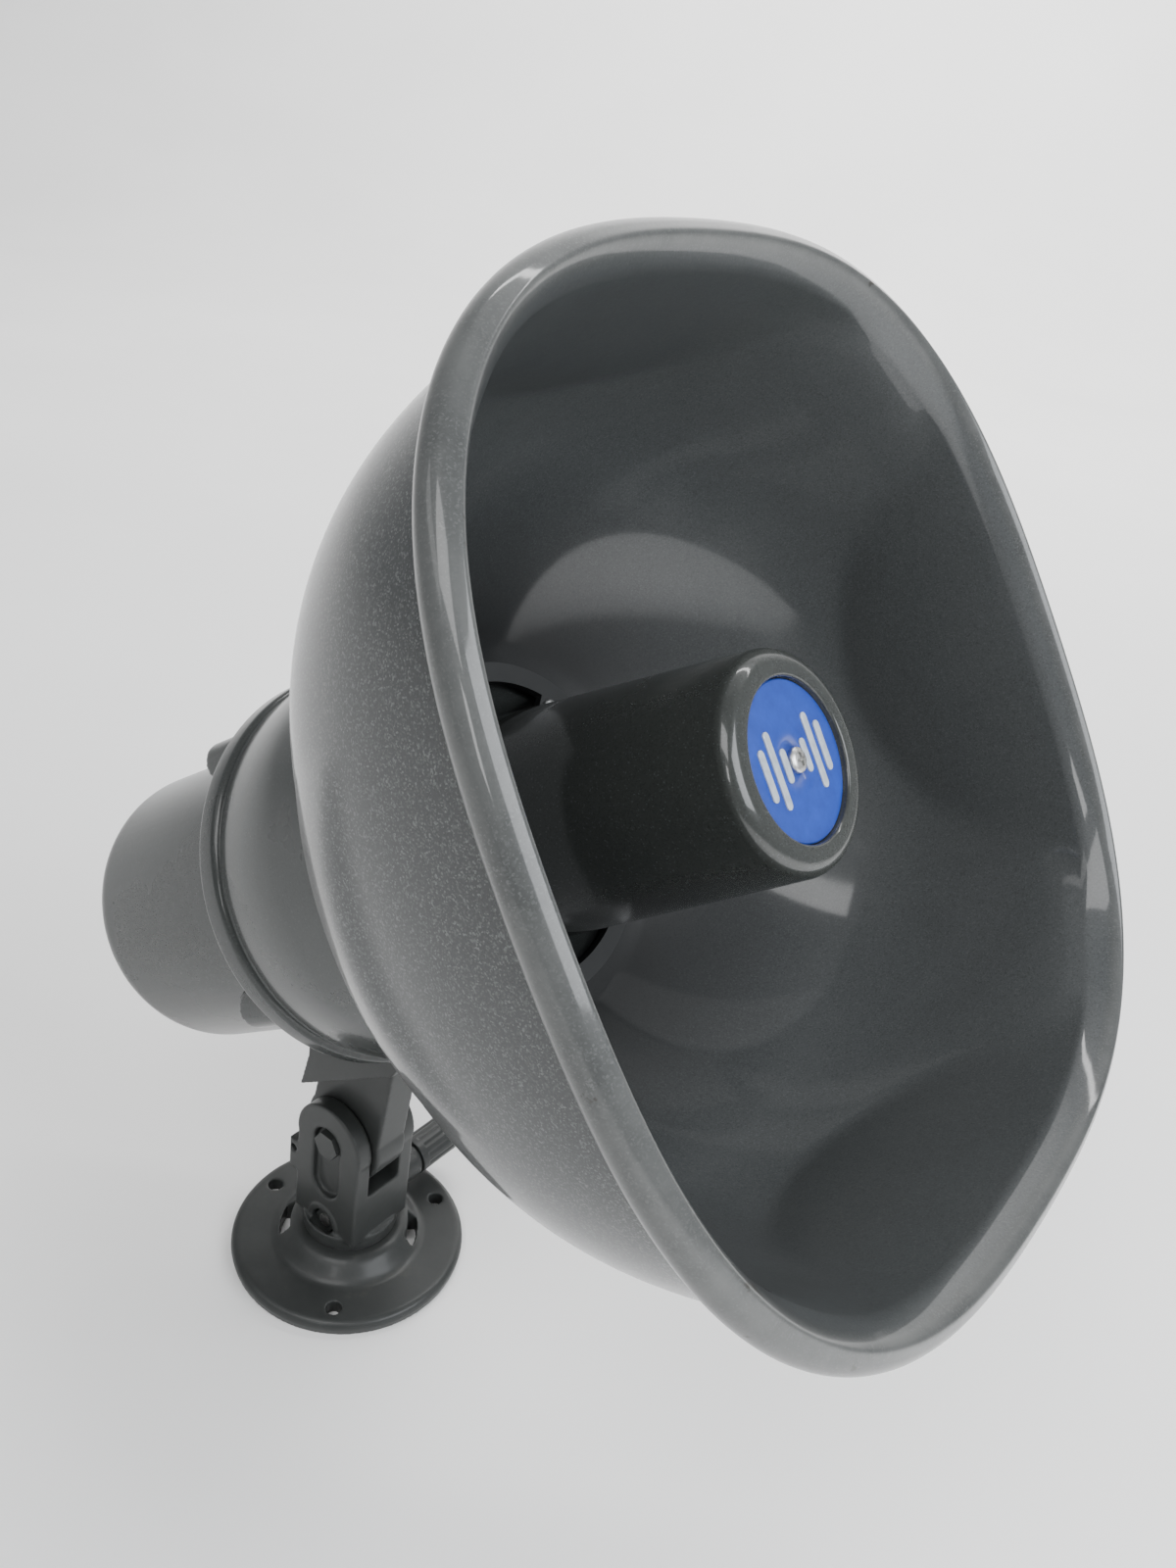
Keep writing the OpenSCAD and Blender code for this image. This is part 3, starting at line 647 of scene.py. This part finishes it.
throat_section += [(gasket_radius, 57.0), (gasket_radius, gasket_step), (chamber_radius, gasket_step)]
throat_section += [(chamber_radius, chamber_floor + chamber_round)]
throat_section += arc(
    chamber_radius - chamber_round, chamber_floor + chamber_round, chamber_round, 0, -90, 10)
throat_section += [(collar_radius, chamber_floor), (collar_radius, collar_top)]
throat_section += [(tone_arm_hole, collar_top), (tone_arm_hole, hole_step), (sound_hole, hole_step)]
throat_housing = turned("throat_shell", throat_section, 224)
housing_paint = fleck_paint(
    "housing_grey", (0.03, 0.033, 0.032), (0.037, 0.04, 0.039), (0.055, 0.058, 0.058),
    fleck_amount=0.02, roughness=0.26, coat=0.3,
)
throat_housing.data.materials.append(housing_paint)
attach(throat_housing, "horn")
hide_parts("throat_housing")


# ---------------------------------------------------------------------------------------------
# Rear can: the deep moulded cover over driver and transformer, with four screw bosses by its
# open end and a generous round at the back, painted like the throat housing.
# ---------------------------------------------------------------------------------------------
def soften(node, name, voxel, rounds):
    """A copy of a CAD node with its hard edges eased, the way a casting comes out of its mould."""
    source = frame["nodes"][node]
    mesh = source.data.copy()
    mesh.transform(source.matrix_world)
    mesh.materials.clear()
    work = bmesh.new()
    work.from_mesh(mesh)
    bmesh.ops.remove_doubles(work, verts=work.verts, dist=1e-6)
    work.to_mesh(mesh)
    work.free()
    piece = bpy.data.objects.new(name, mesh)
    bpy.context.scene.collection.objects.link(piece)
    remesh = piece.modifiers.new("remesh", "REMESH")
    remesh.mode = "VOXEL"
    remesh.voxel_size = voxel
    ease = piece.modifiers.new("ease", "SMOOTH")
    ease.factor = 0.5
    ease.iterations = rounds
    bpy.context.view_layer.update()
    graph = bpy.context.evaluated_depsgraph_get()
    finished = bpy.data.meshes.new_from_object(piece.evaluated_get(graph))
    piece.modifiers.clear()
    piece.data = finished
    finished.name = name
    finished.polygons.foreach_set("use_smooth", [True] * len(finished.polygons))
    return piece


rear_housing = soften("rear_housing", "rear_can", voxel=0.0007, rounds=5)
rear_housing.data.materials.append(housing_paint)
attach(rear_housing, "horn")
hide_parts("rear_housing")

# ---------------------------------------------------------------------------------------------
# Mount castings: flange, swivel block and tilt bracket, die-cast with eased edges, and the
# moulded clamp knob, all painted a darker semi-gloss grey with dust left in the grain.
# ---------------------------------------------------------------------------------------------
mount_low = (0.022, 0.024, 0.023)
mount_high = (0.031, 0.033, 0.032)
mount_dust = (0.05, 0.05, 0.045)
mount_specular = 0.25
mount_paint = new_material("mount_grey", mount_high, 0.45, 0.0, 0.12, 0.2)
mount_shader = mount_paint.node_tree.nodes["Principled BSDF"]
mount_shader.inputs["Specular IOR Level"].default_value = mount_specular
mount_place = add_node(mount_paint, "ShaderNodeTexCoord")
mount_cloud = noise(mount_paint, mount_place, 60.0, 7.0, 0.65)
mount_stops = [(0.3, mount_low), (0.62, mount_high), (0.8, mount_dust)]
link_to_shader(mount_paint, "Base Color", picked(mount_paint, mount_cloud, "Fac", mount_stops))
vary_gloss(mount_paint, mount_cloud, 0.36, 0.52)
add_bumps(mount_paint, noise(mount_paint, mount_place, 420.0, 3.0), 0.12, 0.0003)

for node, body, voxel, rounds in (
    ("base_flange", "base", 0.0005, 4),
    ("swivel_block", "swivel", 0.00045, 6),
    ("tilt_bracket", "horn", 0.0005, 6),
):
    casting = soften(node, node + "_casting", voxel, rounds)
    casting.data.materials.append(mount_paint)
    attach(casting, body)
    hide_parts(node)

clamp_knob = soften("clamp_knob", "knob_moulding", voxel=0.0003, rounds=4)
clamp_knob.data.materials.append(mount_paint)
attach(clamp_knob, "clamp")
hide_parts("clamp_knob")


# ---------------------------------------------------------------------------------------------
# Bright hardware: zinc-plated screws, stud, washer, switch nut and transformer bracket, and the
# driver's iron top plate and pole piece, in a fine bright grain.
# ---------------------------------------------------------------------------------------------
def plain_stock(name, low, high, roughness, metallic, grain_scale, bump_strength):
    """Stock material for small parts: two close tones in a fine grain, with matching gloss."""
    material = new_material(name, low, roughness, metallic)
    place = add_node(material, "ShaderNodeTexCoord")
    grain = noise(material, place, grain_scale, 5.0, 0.6)
    link_to_shader(material, "Base Color", picked(material, grain, "Fac", [(0.3, low), (0.7, high)]))
    vary_gloss(material, grain, max(0.05, roughness - 0.08), roughness + 0.1)
    add_bumps(material, grain, bump_strength, 0.0002)
    return material


def dress(material, *nodes):
    """Gives carried-over CAD nodes their material."""
    for node in nodes:
        mesh = frame["nodes"][node].data
        mesh.materials.clear()
        mesh.materials.append(material)


zinc = plain_stock("zinc_plate", (0.5, 0.5, 0.49), (0.68, 0.68, 0.66), 0.3, 1.0, 900.0, 0.08)
dress(
    zinc, "pan_retaining_washer", "pan_screw", "clamp_stud", "bracket_screws", "housing_screws",
    "bell_screws", "cup_screw", "driver_screws", "transformer_bracket", "transformer_screws",
    "tap_switch_nut", "magnet_top_plate", "pole_piece",
)

# ---------------------------------------------------------------------------------------------
# Painted hardware: the steel pivot bolt and the pivot and clamp nuts and washers, sprayed over
# with the mount's own grey once they are tightened.
# ---------------------------------------------------------------------------------------------
dress(mount_paint, "pivot_bolt", "pivot_washer", "pivot_nut", "clamp_washer", "clamp_nut")

# ---------------------------------------------------------------------------------------------
# Soft and slippery parts: black rubber gaskets and gland seal, pressed between their housings,
# and the ivory nylon tilt washers and terminal block.
# ---------------------------------------------------------------------------------------------
rubber = plain_stock("black_rubber", (0.018, 0.018, 0.018), (0.04, 0.04, 0.038), 0.7, 0.0, 300.0, 0.2)
dress(rubber, "housing_gasket", "bell_gasket", "gland_seal")
nylon = plain_stock("ivory_nylon", (0.72, 0.7, 0.6), (0.8, 0.78, 0.7), 0.42, 0.0, 200.0, 0.06)
dress(nylon, "tilt_friction_washers", "terminal_block")

# ---------------------------------------------------------------------------------------------
# Air path: the tone arm, the spider that holds the cup on it and the throat plate, all cast in
# aluminium, and the bell's clamp ring, made near black as painted shade deep in the throat.
# ---------------------------------------------------------------------------------------------
aluminium = plain_stock("cast_aluminium", (0.5, 0.5, 0.51), (0.64, 0.64, 0.65), 0.45, 1.0, 240.0, 0.25)
dress(aluminium, "tone_arm", "cup_spider", "throat_plate")
# The clamp ring near black: painted shade where the throat falls dark
ring_painted_shade = plain_stock("ring_shade_black", (0.008, 0.009, 0.009), (0.014, 0.015, 0.015), 0.6, 0.0, 150.0, 0.1)
dress(ring_painted_shade, "bell_clamp_ring")

# ---------------------------------------------------------------------------------------------
# Driver and transformer: a brown phenolic diaphragm on its copper coil, a grey ferrite magnet,
# a copper winding on a steel core, two red leads and brass terminal screws.
# ---------------------------------------------------------------------------------------------
phenolic = plain_stock("phenolic_cloth", (0.3, 0.14, 0.04), (0.42, 0.22, 0.08), 0.45, 0.0, 1200.0, 0.3)
dress(phenolic, "diaphragm")
copper = plain_stock("enamelled_copper", (0.5, 0.18, 0.06), (0.66, 0.3, 0.12), 0.3, 1.0, 1500.0, 0.35)
dress(copper, "voice_coil", "transformer_coil")
ferrite = plain_stock("ferrite", (0.035, 0.036, 0.04), (0.06, 0.06, 0.065), 0.6, 0.0, 500.0, 0.2)
dress(ferrite, "magnet_ring")
core_steel = plain_stock("core_steel", (0.2, 0.2, 0.21), (0.32, 0.32, 0.33), 0.4, 1.0, 700.0, 0.3)
dress(core_steel, "transformer_core")
sleeve_red = plain_stock("sleeve_red", (0.33, 0.02, 0.02), (0.42, 0.035, 0.03), 0.4, 0.0, 300.0, 0.05)
dress(sleeve_red, "driver_leads")
brass = plain_stock("terminal_brass", (0.6, 0.44, 0.18), (0.72, 0.56, 0.28), 0.3, 1.0, 700.0, 0.08)
dress(brass, "terminal_screws")

# ---------------------------------------------------------------------------------------------
# Black nylon parts: the cable gland, tap switch and slotted selector on the can's back, the
# phase plug in the throat and the washer that the swivel block pans on.
# ---------------------------------------------------------------------------------------------
black_nylon = plain_stock("black_nylon", (0.02, 0.02, 0.021), (0.036, 0.036, 0.037), 0.48, 0.0, 380.0, 0.15)
dress(
    black_nylon, "gland_body", "gland_cap", "gland_locknut", "tap_switch", "phase_plug",
    "tap_selector", "pan_friction_washer",
)
